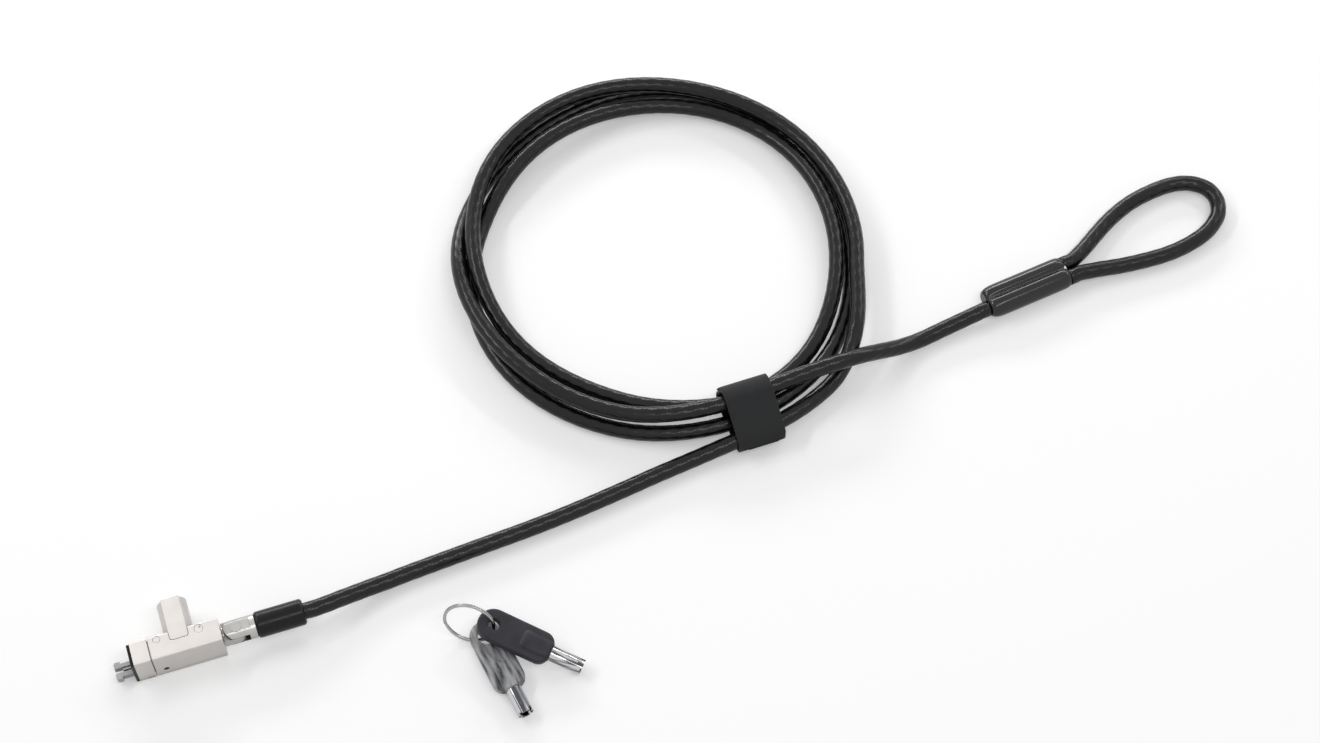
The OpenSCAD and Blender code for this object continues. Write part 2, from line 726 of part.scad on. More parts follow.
// Free stretch from the coil to the double sleeve, chosen by hand
eye_points = [
    [230, 32, 11.8], [238, 32.3, 12.7], [246, 32.4, 13.4], [254, 32.7, 13.3],
    [262, 33.7, 11.5], [270, 34.9, 8.3], [278, 36.1, 5.2], [287, 37.6, 3.3],
    [297, 39.3, 3.3]
];
ferrule_at = [316, 43.7, 4.3];
ferrule_turn = 7.3;
ferrule_dir = [cos(ferrule_turn), sin(ferrule_turn), 0];
eye_entry = ferrule_at + 1.8 * [sin(ferrule_turn), -cos(ferrule_turn), 0];
eye_route = concat(leaving(coil_out, coil_out_dir), eye_points, arriving(eye_entry, ferrule_dir));

// The end loop, from one barrel of the double sleeve to the other, in the sleeve's
// own axes: x onwards from the sleeve's end, y across it
leg = 3.1;
loop_points = [
    [0, leg, 4.3], [2.5, leg, 4.3], [5, leg, 4.3], [12, 6, 3.8], [20, 10, 3.4],
    [29, 14, lie], [39, 16.9, lie], [49, 17.9, lie], [58, 17.4, lie], [65, 14.8, lie],
    [69.6, 9.8, lie], [70.2, 4, lie], [67.8, -1.3, lie], [63.5, -5, lie], [57, -7.9, lie],
    [48, -9.4, lie], [39, -9.4, lie], [30, -8.2, lie], [21, -6.5, 3.3], [12.5, -4.6, 3.9],
    [5, -leg, 4.3], [2.5, -leg, 4.3], [0, -leg, 4.3]
];

module along_ferrule() {
    translate([ferrule_at[0], ferrule_at[1], 0]) rotate([0, 0, ferrule_turn]) children();
}

module cable_lock_tail() {
    color("#1b1b1d") tube(spline(lock_route, 2), cable_d, 8);
}

module cable_coil() {
    color("#1b1b1d") tube(coil_route, cable_d, 6);
}

module cable_eye_tail() {
    color("#1b1b1d") tube(spline(eye_route, 2), cable_d, 8);
}

module cable_eye_loop() {
    color("#1b1b1d")
        along_ferrule()
            translate([ferrule_len, 0, 0])
                tube(spline(loop_points, 2), cable_d, 8);
}

// Strap round the four passes of the cable where the coil is tied. It is a straight
// band, and the passes bend through it, so its section holds them at both its ends too.
strap_turn = 1;
strap_at = (coil_point(1) + coil_point(2)) / 2;
strap_side = [-sin(strap_turn), cos(strap_turn), 0];
pass_ends = [for (s = [-1, 1] * strap_w / 2) each concat(
    [for (t = [1, 2]) coil_point(t + s / (2 * PI * coil_r))],
    [s < 0 ? coil_curve[0] + s * coil_in_dir : coil_point(s / (2 * PI * coil_r))],
    [s > 0 ? coil_curve[coil_last] + s * coil_out_dir
           : coil_point(coil_turns + s / (2 * PI * coil_r))]
)];
strap_round = [
    for (p = concat(pass_ends, [for (t = [0 : coil_turns]) coil_point(t)]))
        [(p - strap_at) * strap_side, p[2]]
];

module tie_strap() {
    inner = cable_d / 2 + strap_slack;
    module band(r) {
        hull() for (q = strap_round) translate(q) circle(r, $fn = 32);
    }
    color("#202022")
        translate([strap_at[0], strap_at[1], 0])
            rotate([90, 0, 90 + strap_turn])
                translate([0, 0, -strap_w / 2])
                    linear_extrude(strap_w)
                        difference() {
                            band(inner + strap_t);
                            band(inner);
                        }
}

// Two circles a barrel apart, filled between
module double_outline(w, h) {
    translate([-(w - h) / 2, -h / 2]) square([w - h, h]);
    for (s = [-1, 1]) translate([s * (w - h) / 2, 0]) circle(d = h);
}

// Moulded cover of the loop's crimp
module eye_ferrule() {
    color("#161616")
        along_ferrule()
            translate([0, 0, ferrule_h / 2])
                rotate([90, 0, 90])
                    difference() {
                        linear_extrude(ferrule_len) double_outline(ferrule_w, ferrule_h);
                        translate([0, 0, 4])
                            linear_extrude(ferrule_len) double_outline(ferrule_w - 2.4, ferrule_h - 2.4);
                    }
}

module eye_crimp() {
    color("#b0aeaa")
        along_ferrule()
            translate([4.05, 0, ferrule_h / 2])
                rotate([90, 0, 90])
                    linear_extrude(ferrule_len - 4.05) double_outline(ferrule_w - 2.5, ferrule_h - 2.5);
}

// ---- Keys -----------------------------------------------------------------

// The ring stands leaning in the holes of both grips; its plane rises to one side
ring_at = [94.6, -23.2];
ring_turn = -30.6;
ring_lean = 73.7;
ring_z = ring_wire_d / 2 + ring_r * sin(ring_lean);

module key_ring() {
    color("silver")
        translate([ring_at[0], ring_at[1], ring_z])
            rotate([0, 0, ring_turn])
                rotate([ring_lean, 0, 0])
                    rotate_extrude($fn = 96) translate([ring_r, 0]) circle(d = ring_wire_d, $fn = 24);
}

// A key lies along its own X with the ring hole at its origin and its middle at z = 0
grip_end = 6.1;
grip_front = grip_len - grip_end;
boss_w = 8;
boss_from = 11;
root_x = boss_from + 1;
root_d = key_tube_d - 1;

module grip(hole_d) {
    difference() {
        union() {
            translate([0, 0, -grip_t / 2]) linear_extrude(grip_t) grip_outline();
            translate([0, 0, -key_tube_d / 2 + 0.05])
                linear_extrude(key_tube_d - 0.1)
                    intersection() {
                        grip_outline();
                        translate([boss_from, -boss_w / 2]) square([grip_front, boss_w]);
                    }
        }
        translate([0, 0, -5]) cylinder(d = hole_d, h = 10);
        rod_x(root_x, grip_front + 1, 0, 0, root_d);
    }
}

module grip_outline() {
    circle(grip_w / 2);
    translate([0, -grip_w / 2]) square([grip_front - 4, grip_w]);
    translate([0, -grip_w / 2 + 4]) square([grip_front, grip_w - 8]);
    for (s = [-1, 1]) translate([grip_front - 4, s * (grip_w / 2 - 4)]) circle(4);
}

module key_tube(out) {
    x1 = grip_front + out;
    difference() {
        union() {
            rod_x(root_x, grip_front + 0.05, 0, 0, root_d - 0.04);
            rod_x(grip_front + 0.05, x1, 0, 0, key_tube_d);
            // nib that finds the keyway's slot
            box(x1 - 3.6, x1 - 2.2, -0.5, 0.5, key_tube_d / 2 - 0.3, key_tube_d / 2 + 0.25);
        }
        rod_x(grip_front + 2, x1 + 1, 0, 0, key_tube_bore);
        // bitting cut into the end of the tube
        for (i = [0 : 3])
            rotate([45 + 90 * i, 0, 0])
                box(x1 - 0.6 - 0.3 * i, x1 + 1, -0.5, 0.5, key_tube_bore / 2 - 0.5, key_tube_d);
    }
}

tip_z = key_tube_d / 2 + 0.1;
black_at = [102.3, -27.3, 9.6];
black_turn = -41;
black_dip = asin((black_at[2] - tip_z) / (grip_front + black_tube_out));
grey_at = [99.2, -27.8, 3.6];
grey_turn = -81.5;
grey_dip = asin((grey_at[2] - tip_z) / (grip_front + grey_tube_out));

module place_black() {
    translate(black_at) rotate([0, 0, black_turn]) rotate([0, black_dip, 0]) children();
}

module place_grey() {
    translate(grey_at) rotate([0, 0, grey_turn]) rotate([0, grey_dip, 0]) children();
}

module black_key_grip() {
    color("#242428") place_black() grip(black_hole_d);
}

module black_key_tube() {
    color("silver") place_black() key_tube(black_tube_out);
}

module grey_key_grip() {
    color("#a8a9ab") place_grey() grip(grey_hole_d);
}

module grey_key_tube() {
    color("silver") place_grey() key_tube(grey_tube_out);
}

housing();
nose_collar();
nose_gasket();
lock_cartridge();
tumbler_block();
driver_pins();
tumbler_springs();
collar_pin();
swivel_pin();
stop_screw();
hook_pins();
key_plug();
plug_spindle();
key_pins();
drive_cam();
latch_slider();
far_hook();
near_hook();
rear_link();
swivel_yoke();
hinge_pin();
crimp_ferrule();
cable_core_end();
cable_sleeve();
cable_lock_tail();
cable_coil();
tie_strap();
cable_eye_tail();
eye_ferrule();
eye_crimp();
cable_eye_loop();
key_ring();
black_key_grip();
black_key_tube();
grey_key_grip();
grey_key_tube();
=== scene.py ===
import math

import bmesh
import bpy
from mathutils import Matrix, Vector


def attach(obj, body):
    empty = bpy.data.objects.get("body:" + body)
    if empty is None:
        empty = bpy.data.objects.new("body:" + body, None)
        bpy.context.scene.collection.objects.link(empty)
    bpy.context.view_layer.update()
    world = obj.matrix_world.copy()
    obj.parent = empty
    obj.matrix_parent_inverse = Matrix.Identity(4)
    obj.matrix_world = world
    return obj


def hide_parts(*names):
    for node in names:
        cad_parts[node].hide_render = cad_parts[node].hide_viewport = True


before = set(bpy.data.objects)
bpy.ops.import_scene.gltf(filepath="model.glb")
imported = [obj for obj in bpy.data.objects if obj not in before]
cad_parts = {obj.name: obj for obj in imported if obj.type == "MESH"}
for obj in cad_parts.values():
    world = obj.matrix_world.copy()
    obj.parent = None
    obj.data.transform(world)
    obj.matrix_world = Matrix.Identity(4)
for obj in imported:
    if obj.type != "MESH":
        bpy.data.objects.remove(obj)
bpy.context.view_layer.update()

# ---- Floor, light and camera ------------------------------------------------
# The lock lies on a sheet of white card in an even white room, under four long thin
# lamps: their reflections are the fine pale lines along the cable.


def ink(code):
    """sRGB hex as the linear colour that a shader takes."""
    parts = [int(code[i : i + 2], 16) / 255 for i in (1, 3, 5)]
    parts = [c / 12.92 if c <= 0.04045 else ((c + 0.055) / 1.055) ** 2.4 for c in parts]
    return (*parts, 1)


def feed(node, takes):
    """Gives a shader node its inputs, as values or as links."""
    for name, value in takes.items():
        if isinstance(value, bpy.types.NodeSocket):
            node.id_data.links.new(value, node.inputs[name])
        else:
            node.inputs[name].default_value = value


def add(tree, kind, takes=None, **settings):
    """A shader node with its settings and its inputs."""
    made = tree.nodes.new("ShaderNode" + kind)
    for name, value in settings.items():
        setattr(made, name, value)
    feed(made, takes or {})
    return made


def new_material(name):
    """A material, with its nodes and its Principled shader."""
    made = bpy.data.materials.new(name)
    made.use_nodes = True
    return made, made.node_tree, made.node_tree.nodes["Principled BSDF"]


def seen_directly(tree):
    """1 for the rays of the camera and those that a shiny or clear surface sends on."""
    path = add(tree, "LightPath").outputs
    straight_or_shiny = add(
        tree, "Math", {0: path["Is Camera Ray"], 1: path["Is Glossy Ray"]}, operation="MAXIMUM"
    )
    return add(
        tree,
        "Math",
        {0: straight_or_shiny.outputs[0], 1: path["Is Transmission Ray"]},
        operation="MAXIMUM",
    ).outputs[0]


# The room lights the lock less than it shows, so that the lamps do the drawing
room = bpy.data.worlds.new("white room")
room.use_nodes = True
room_level = add(
    room.node_tree,
    "MapRange",
    {"Value": seen_directly(room.node_tree), "To Min": 0.4, "To Max": 1.0},
).outputs["Result"]
feed(room.node_tree.nodes["Background"], {"Color": ink("#ffffff"), "Strength": room_level})
bpy.context.scene.world = room

# White card: matt and even. Its own glow is seen but lights nothing.
card, card_tree, card_skin = new_material("white card")
card_glow = add(
    card_tree,
    "MapRange",
    {"Value": seen_directly(card_tree), "To Min": 0.0, "To Max": 0.27},
).outputs["Result"]
feed(
    card_skin,
    {
        "Base Color": ink("#e2e2e2"),
        "Roughness": 0.9,
        "Specular IOR Level": 0.1,
        "Emission Color": ink("#ffffff"),
        "Emission Strength": card_glow,
    },
)

floor_shape = bmesh.new()
bmesh.ops.create_grid(floor_shape, x_segments=8, y_segments=8, size=3)
floor_mesh = bpy.data.meshes.new("floor")
floor_shape.to_mesh(floor_mesh)
floor_shape.free()
floor = bpy.data.objects.new("floor", floor_mesh)
floor.location = (0.15, 0.05, 0)
floor_mesh.materials.append(card)
bpy.context.scene.collection.objects.link(floor)

# Long thin lamps, by their place from the lock's middle, their height and their power
LAMP_WIDTH = 1.0
middle = Vector((0.16, 0.06, 0))
for lamp_name, offset, high, power in (
    ("back light", (0.16, 1.1, 0.45), 0.18, 6.2),
    ("front light", (0.16, -0.5, 1.05), 0.1, 2.9),
    ("left light", (-0.75, 0.6, 1.0), 0.12, 4.8),
    ("right light", (0.9, 0.5, 0.7), 0.08, 2.4),
):
    lamp = bpy.data.lights.new(lamp_name, "AREA")
    lamp.shape = "RECTANGLE"
    lamp.size = LAMP_WIDTH
    lamp.size_y = high
    lamp.energy = power
    lamp_object = bpy.data.objects.new(lamp_name, lamp)
    lamp_object.location = middle + Vector(offset)
    lamp_object.rotation_euler = (-Vector(offset)).to_track_quat("-Z", "Y").to_euler()
    bpy.context.scene.collection.objects.link(lamp_object)

lens = bpy.data.cameras.new("camera")
lens.lens = 68.18
lens.sensor_width = 36
camera = bpy.data.objects.new("camera", lens)
camera.location = (0.0394, -0.3963, 0.796)
camera_forward = Vector((0.1635, 0.4884, -0.8572))
camera.rotation_euler = camera_forward.to_track_quat("-Z", "Y").to_euler()
bpy.context.scene.collection.objects.link(camera)
bpy.context.scene.camera = camera
bpy.context.scene.view_settings.view_transform = "Standard"

# ---- The cable ----------------------------------------------------------------
# A laid rope of galvanised steel wire in a thin black PVC jacket, 6 mm across.
# The jacket is extruded tight on the rope, so the six strands show through as low
# slanting ridges. It is crimped into the lock's yoke and into the double sleeve.

MM = 0.001
CABLE_D = 6 * MM
# The height of the cable's middle where it lies on the card
LIE = 3.1
STRANDS = 6
# The length in which a strand goes once round the rope
LAY = 34 * MM


def millimetres(points):
    """Points given in millimetres, as vectors in metres."""
    return [Vector(p) * MM for p in points]


def spline(points, steps):
    """A smooth line through the points."""
    line = []
    for i in range(len(points) - 1):
        a = points[max(i - 1, 0)]
        b = points[i]
        c = points[i + 1]
        d = points[min(i + 2, len(points) - 1)]
        for k in range(steps):
            t = k / steps
            line.append(
                0.5
                * (
                    2 * b
                    + (c - a) * t
                    + (2 * a - 5 * b + 4 * c - d) * t * t
                    + (3 * b - a - 3 * c + d) * t * t * t
                )
            )
    return line + [points[-1]]


def evenly(line, step):
    """The line again with its points a step apart."""
    length = sum((b - a).length for a, b in zip(line, line[1:]))
    count = round(length / step)
    wanted = [length * k / count for k in range(1, count)]
    out = [line[0]]
    gone = 0
    for a, b in zip(line, line[1:]):
        span = (b - a).length
        while wanted and wanted[0] <= gone + span:
            out.append(a.lerp(b, (wanted.pop(0) - gone) / span))
        gone += span
    return out + [line[-1]]


def straight(at, ahead, counts):
    """Points 1.5 mm apart that lead the cable straight through an end."""
    return [at + 1.5 * k * ahead for k in counts]


def ease(t):
    """0 up to t = 0 and 1 from t = 1, with a smooth step between."""
    u = min(1, max(0, t))
    return u * u * (3 - 2 * u)


def cos_d(degrees):
    return math.cos(math.radians(degrees))


def sin_d(degrees):
    return math.sin(math.radians(degrees))


# The coil's middle, its mean radius, and where on it the strap sits, seen from above
COIL_X = 204.2
COIL_Y = 99.1
COIL_R = 72.9
COIL_START = -80.5
COIL_TURNS = 3
# The three passes lie as a bundle that rolls over as it goes round
BUNDLE_HALF_W = 4.95
BUNDLE_HALF_H = 3.89
ROLL_AT_STRAP = 90
ROLL_PER_TURN = 120
ROLL_ROUNDING = 9
# The coil isn't quite round: each list of waves gives a size's change round it, as
# the cosine and sine of one, two and three times the angle from the strap
RADIUS_WAVES = ((-4.69, 3.6), (1.35, -0.51), (0.61, 0.61))
WIDTH_WAVES = ((-0.05, -0.69), (0.38, -0.78), (-0.92, -0.22))
ROLL_WAVES = ((41.3, -23.7), (-8.4, -15.9), (9.9, 14.9))
# The strap lifts the passes, and the lift fades out on both sides of it
STRAP_LIFT = 1.5
LIFT_FROM = 12
LIFT_DEG = 28
# The first pass comes in beside the others and climbs onto them
ENTRY_OUT = 10.6
ENTRY_FROM = 23
ENTRY_DEG = 40
CLIMB_FROM = 20
CLIMB_DEG = 22
# The last pass leaves inwards and up
EXIT_IN = 1
EXIT_UP = 0.5
EXIT_DEG = 50


def wave(waves, a):
    """A list of waves at this angle from the strap."""
    return sum(c * cos_d(k * a) + s * sin_d(k * a) for k, (c, s) in enumerate(waves, 1))


def coil_point(t):
    """The coil's centreline in millimetres after t turns."""
    a = 360 * t
    roll = ROLL_AT_STRAP + ROLL_PER_TURN * t + wave(ROLL_WAVES, a) - wave(ROLL_WAVES, 0)
    # the lowest of three passes a third of a turn apart bears on the card
    lowest = -sin_d(30 + math.hypot((roll - 30) % ROLL_PER_TURN - ROLL_PER_TURN / 2, ROLL_ROUNDING))
    lift = STRAP_LIFT * (1 - ease((abs(t - round(t)) * 360 - LIFT_FROM) / LIFT_DEG))
    half_w = BUNDLE_HALF_W + wave(WIDTH_WAVES, a)
    entry = 1 - ease((a - ENTRY_FROM) / ENTRY_DEG)
    up = ease((a - CLIMB_FROM) / CLIMB_DEG)
    leave = ease((t - COIL_TURNS) * 360 / EXIT_DEG + 1)
    r = COIL_R + wave(RADIUS_WAVES, a) + half_w * cos_d(roll) + ENTRY_OUT * entry - EXIT_IN * leave
    z = LIE + BUNDLE_HALF_H * (sin_d(roll) - lowest) * up + EXIT_UP * leave
    turn = COIL_START + a
    return Vector((COIL_X + r * cos_d(turn), COIL_Y + r * sin_d(turn), z + lift))


COIL_STEPS = 240
# The coil runs straight for one cable's width where it starts and where it ends
COIL_STUB = CABLE_D / MM
coil = [coil_point(k / COIL_STEPS) for k in range(COIL_TURNS * COIL_STEPS + 1)]
coil_in_ahead = (coil_point(0.01) - coil[0]).normalized()
coil_in = coil[0] - COIL_STUB * coil_in_ahead
coil_out_ahead = (coil[-1] - coil_point(COIL_TURNS - 0.01)).normalized()
coil_out = coil[-1] + COIL_STUB * coil_out_ahead

# From the moulded sleeve at the lock to the coil, and from the coil to the double sleeve
lock_exit = Vector((35.2, 0, 7.5))
lock_run = [
    (42, 0, 7.5), (45.5, 0, 7.4), (50, 0.5, 7), (55, 1.4, 6.2), (60, 2.3, 5.2), (66, 3.3, 4.2),
    (72, 4.1, 3.4), (79, 4.9, LIE), (87, 5.5, LIE), (95, 6.1, LIE), (105, 6.8, LIE),
    (114, 7.4, LIE), (124, 8.1, LIE), (134, 9, LIE), (144, 10.1, LIE), (154, 11.4, LIE),
    (164, 12.8, LIE), (174, 14.3, LIE), (183, 15.5, LIE), (192, 16.6, 3.2), (200.5, 17.4, 3.9),
]  # fmt: skip
eye_run = [
    (230, 32, 11.8), (238, 32.3, 12.7), (246, 32.4, 13.4), (254, 32.7, 13.3),
    (262, 33.7, 11.5), (270, 34.9, 8.3), (278, 36.1, 5.2), (287, 37.6, 3.3),
    (297, 39.3, 3.3),
]  # fmt: skip
# The double sleeve lies turned this far, and the cable enters it in its near half
SLEEVE_MID = 4.3
SLEEVE_AT = Vector((316, 43.7, SLEEVE_MID))
SLEEVE_TURN = 7.3
ENTRY_ASIDE = 1.8
sleeve_ahead = Vector((cos_d(SLEEVE_TURN), sin_d(SLEEVE_TURN), 0))
eye_entry = SLEEVE_AT + ENTRY_ASIDE * Vector((sin_d(SLEEVE_TURN), -cos_d(SLEEVE_TURN), 0))

RUN_STEPS = 6
lock_line = spline(
    straight(lock_exit, Vector((1, 0, 0)), (0, 1, 2))
    + [Vector(p) for p in lock_run]
    + straight(coil_in, coil_in_ahead, (-2, -1, 0)),
    RUN_STEPS,
)
eye_line = spline(
    straight(coil_out, coil_out_ahead, (0, 1, 2))
    + [Vector(p) for p in eye_run]
    + straight(eye_entry, sleeve_ahead, (-2, -1, 0)),
    RUN_STEPS,
)
cable_line = evenly(millimetres(lock_line + coil + eye_line), 1.4 * MM)


def as_mesh(name, shape, place=Matrix.Identity(4)):
    """The mesh of a finished shape, moved into place and with its faces outwards."""
    bmesh.ops.recalc_face_normals(shape, faces=shape.faces)
    shape.transform(place)
    mesh = bpy.data.meshes.new(name)
    shape.to_mesh(mesh)
    shape.free()
    return mesh


def sweep(name, line, radius, sides, place=Matrix.Identity(4)):
    """A closed tube round a line. radius takes the length run and the share of a
    turn, and the two are kept as the tube's UV map, in turns and metres."""
    shape = bmesh.new()
    run = shape.loops.layers.uv.new("run")
    gone = [0]
    for a, b in zip(line, line[1:]):
        gone.append(gone[-1] + (b - a).length)
    rings = []
    for i, at in enumerate(line):
        ahead = (line[min(i + 1, len(line) - 1)] - line[max(i - 1, 0)]).normalized()
        side = ahead.cross(Vector((0, 0, 1))).normalized()
        up = side.cross(ahead)
        rings.append([])
        for k in range(sides):
            turn = k / sides
            reach = radius(gone[i], turn)
            out = cos_d(360 * turn) * side + sin_d(360 * turn) * up
            rings[-1].append(shape.verts.new(at + reach * out))
    for i in range(len(rings) - 1):
        for k in range(sides):
            n = (k + 1) % sides
            face = shape.faces.new((rings[i][k], rings[i][n], rings[i + 1][n], rings[i + 1][k]))
            face.smooth = True
            corners = ((k, i), (k + 1, i), (k + 1, i + 1), (k, i + 1))
            for loop, (turn, along) in zip(face.loops, corners):
                loop[run].uv = (turn / sides, gone[along])
    for ring in (rings[0], rings[-1]):
        shape.faces.new(ring)
    return as_mesh(name, shape, place)


def put(name, mesh, material, body):
    """A piece of this mesh and material that rides on a CAD body."""
    made = bpy.data.objects.new(name, mesh)
    bpy.context.scene.collection.objects.link(made)
    mesh.materials.append(material)
    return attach(made, body)


def over_strands(gone, turn):
    """The jacket's radius: low ridges that follow the six strands of the rope."""
    return CABLE_D / 2 * (0.99 + 0.01 * cos_d(360 * STRANDS * (turn - gone / LAY)))


# Extruded black PVC, half glossy: near black, with long streaky highlights that the
# strands under it break up, and dull patches where it has been handled.
jacket, jacket_tree, jacket_skin = new_material("extruded black PVC")
run_uv = add(jacket_tree, "UVMap", uv_map="run").outputs["UV"]
run_parts = add(jacket_tree, "SeparateXYZ", {0: run_uv}).outputs
twist = add(
    jacket_tree,
    "Math",
    {0: run_parts["Y"], 1: -1 / LAY, 2: run_parts["X"]},
    operation="MULTIPLY_ADD",
).outputs[0]


def ridges(count, kind):
    """A wave with this many ridges round the cable, which slant as the strands do."""
    angle = add(
        jacket_tree, "Math", {0: twist, 1: 2 * math.pi * count}, operation="MULTIPLY"
    ).outputs[0]
    return add(jacket_tree, "Math", {0: angle}, operation=kind).outputs[0]


strand_wave = ridges(STRANDS, "COSINE")
# Wires 0.4 mm across lie in each strand; drawn 0.8 mm across so that they show
wire_wave = ridges(STRANDS * 4, "SINE")
jacket_at = add(jacket_tree, "TexCoord").outputs["Object"]
handled = add(
    jacket_tree, "TexNoise", {"Vector": jacket_at, "Scale": 1 / (9 * MM), "Detail": 4}
).outputs["Fac"]
wound = add(
    jacket_tree, "Math", {0: wire_wave, 1: 0.25, 2: strand_wave}, operation="MULTIPLY_ADD"
).outputs[0]
relief = add(
    jacket_tree, "Math", {0: wound, 1: 0.8, 2: handled}, operation="MULTIPLY_ADD"
).outputs[0]
jacket_bump = add(
    jacket_tree, "Bump", {"Height": relief, "Strength": 0.4, "Distance": 0.06 * MM}
)
jacket_shade = add(
    jacket_tree, "Mix", {"Factor": handled, 6: ink("#070708"), 7: ink("#101011")}, data_type="RGBA"
)
jacket_gloss = add(jacket_tree, "MapRange", {"Value": handled, "To Min": 0.17, "To Max": 0.3})
feed(
    jacket_skin,
    {
        "Base Color": jacket_shade.outputs[2],
        "Roughness": jacket_gloss.outputs["Result"],
        "Normal": jacket_bump.outputs["Normal"],
        "Specular IOR Level": 0.3,
    },
)

CABLE_SIDES = 30
cable = put(
    "security_cable",
    sweep("security_cable", cable_line, over_strands, CABLE_SIDES),
    jacket,
    "cable",
)
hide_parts("cable_lock_tail", "cable_coil", "cable_eye_tail")

# ---- The end loop -----------------------------------------------------------------
# The far end of the same cable, bent round to a drop-shaped eye that the lock passes
# through. Its two legs run side by side back into the double sleeve, pressed into it.

LEG = 3.1
loop_run = [
    (0, LEG, SLEEVE_MID), (2.5, LEG, SLEEVE_MID), (5, LEG, SLEEVE_MID), (12, 6, 3.8),
    (20, 10, 3.4), (29, 14, LIE), (39, 16.9, LIE), (49, 17.9, LIE), (58, 17.4, LIE),
    (65, 14.8, LIE), (69.6, 9.8, LIE), (70.2, 4, LIE), (67.8, -1.3, LIE),
    (63.5, -5, LIE), (57, -7.9, LIE), (48, -9.4, LIE), (39, -9.4, LIE),
    (30, -8.2, LIE), (21, -6.5, 3.3), (12.5, -4.6, 3.9), (5, -LEG, SLEEVE_MID),
    (2.5, -LEG, SLEEVE_MID), (0, -LEG, SLEEVE_MID),
]  # fmt: skip
SLEEVE_LEN = 34 * MM
sleeve_place = Matrix.Translation((SLEEVE_AT.x * MM, SLEEVE_AT.y * MM, 0)) @ Matrix.Rotation(
    math.radians(SLEEVE_TURN), 4, "Z"
)
loop_place = sleeve_place @ Matrix.Translation((SLEEVE_LEN, 0, 0))
loop_line = evenly([loop_place @ p for p in spline(millimetres(loop_run), 8)], 1.2 * MM)
end_loop = put(
    "end_loop_cable",
    sweep("end_loop_cable", loop_line, over_strands, CABLE_SIDES),
    jacket,
    "cable",
)
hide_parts("cable_eye_loop")

# ---- The tie strap --------------------------------------------------------------
# A short band of woven nylon, 18 mm wide, wrapped round the four passes of the
# cable and pressed shut on itself, so that one end lies over the other on top.

STRAP_W = 18 * MM
STRAP_T = 1.1 * MM
# The band stands this far off the cable's middle, and lies turned by this much
STRAP_IN = CABLE_D / 2 + 0.45 * MM
STRAP_TURN = 1
strap_along = Vector((cos_d(STRAP_TURN), sin_d(STRAP_TURN), 0))
strap_side = Vector((-sin_d(STRAP_TURN), cos_d(STRAP_TURN), 0))
strap_at = (coil_point(1) + coil_point(2)) / 2 * MM
# Where the passes go through the strap's middle and through its two ends
strap_reach = STRAP_W / 2 / MM
held = [coil_point(t) for t in range(COIL_TURNS + 1)]
for end in (-strap_reach, strap_reach):
    turns = end / (2 * math.pi * COIL_R)
    held += [coil_point(1 + turns), coil_point(2 + turns)]
    held.append(coil[0] + end * coil_in_ahead if end < 0 else coil_point(turns))
    held.append(coil[-1] + end * coil_out_ahead if end > 0 else coil_point(COIL_TURNS + turns))
passes = [((p * MM - strap_at).dot(strap_side), p.z * MM) for p in held]


def round_passes(reach):
    """The closed line a band of this reach takes round the passes, from the outer
    side over the top to the inner side, in distance from the strap's middle and z."""
    line = []
    for k in range(241):
        out = (-cos_d(1.5 * k), sin_d(1.5 * k))
        r, z = max(passes, key=lambda q: q[0] * out[0] + q[1] * out[1])
        line.append(Vector((r + reach * out[0], z + reach * out[1])))
    return evenly(line, 0.9 * MM)[:-1]


def join_rings(shape, rings, closed=False):
    """Faces from each ring of points to the next. A closed row of rings goes on to
    the first again, and any other gets its two end faces."""
    after = rings[1:] + rings[:1] if closed else rings[1:]
    for a, b in zip(rings, after):
        for k in range(len(a)):
            n = (k + 1) % len(a)
            shape.faces.new((a[k], a[n], b[n], b[k])).smooth = True
    if not closed:
        shape.faces.new(rings[0])
        shape.faces.new(rings[-1])


STRAP_STEPS = 16
CORNER_R = 3.5 * MM


def strap_profile(thick):
    """The band's section, from one edge to the other on the outer side and back on
    the inner side, in distance across the band and in height."""
    half_width = STRAP_W / 2
    edge = 0.35 * thick
    one_edge = [
        (-half_width + edge * (1 - cos_d(a)), thick / 2 + (thick / 2) * sin_d(a))
        for a in (0, 30, 60, 90)
    ]
    flat_width = 2 * half_width - 2 * edge
    flat = [
        (-half_width + edge + flat_width * k / STRAP_STEPS, thick) for k in range(1, STRAP_STEPS)
    ]
    outer = one_edge + flat + [(-x, y) for x, y in reversed(one_edge)]
    return outer + [(x, thick - y) for x, y in reversed(outer[1:-1])]


def add_strap(shape, line, thick, closed):
    """Adds a band of this thickness along a line of its section, with rounded edges.
    An open band has rounded corners at its first end."""
    ahead = []
    gone = [0]
    for i, p in enumerate(line):
        after = line[(i + 1) % len(line)] if closed or i + 1 < len(line) else p
        before = line[i - 1] if closed or i else p
        ahead.append((after - before).normalized())
        gone.append(gone[-1] + (after - p).length)
    rings = []
    for p, d, run in zip(line, ahead, gone):
        out = Vector((-d.y, d.x))
        short = 0 if closed else max(0, CORNER_R - run)
        narrow = 1 - (CORNER_R - math.sqrt(CORNER_R**2 - short**2)) / (STRAP_W / 2)
        ring = []
        for across, height in strap_profile(thick):
            flat_at = p + out * height
            at = strap_at + flat_at.x * strap_side + across * narrow * strap_along
            ring.append(shape.verts.new((at.x, at.y, flat_at.y)))
        rings.append(ring)
    join_rings(shape, rings, closed)


strap_shape = bmesh.new()
add_strap(strap_shape, round_passes(STRAP_IN), STRAP_T, True)
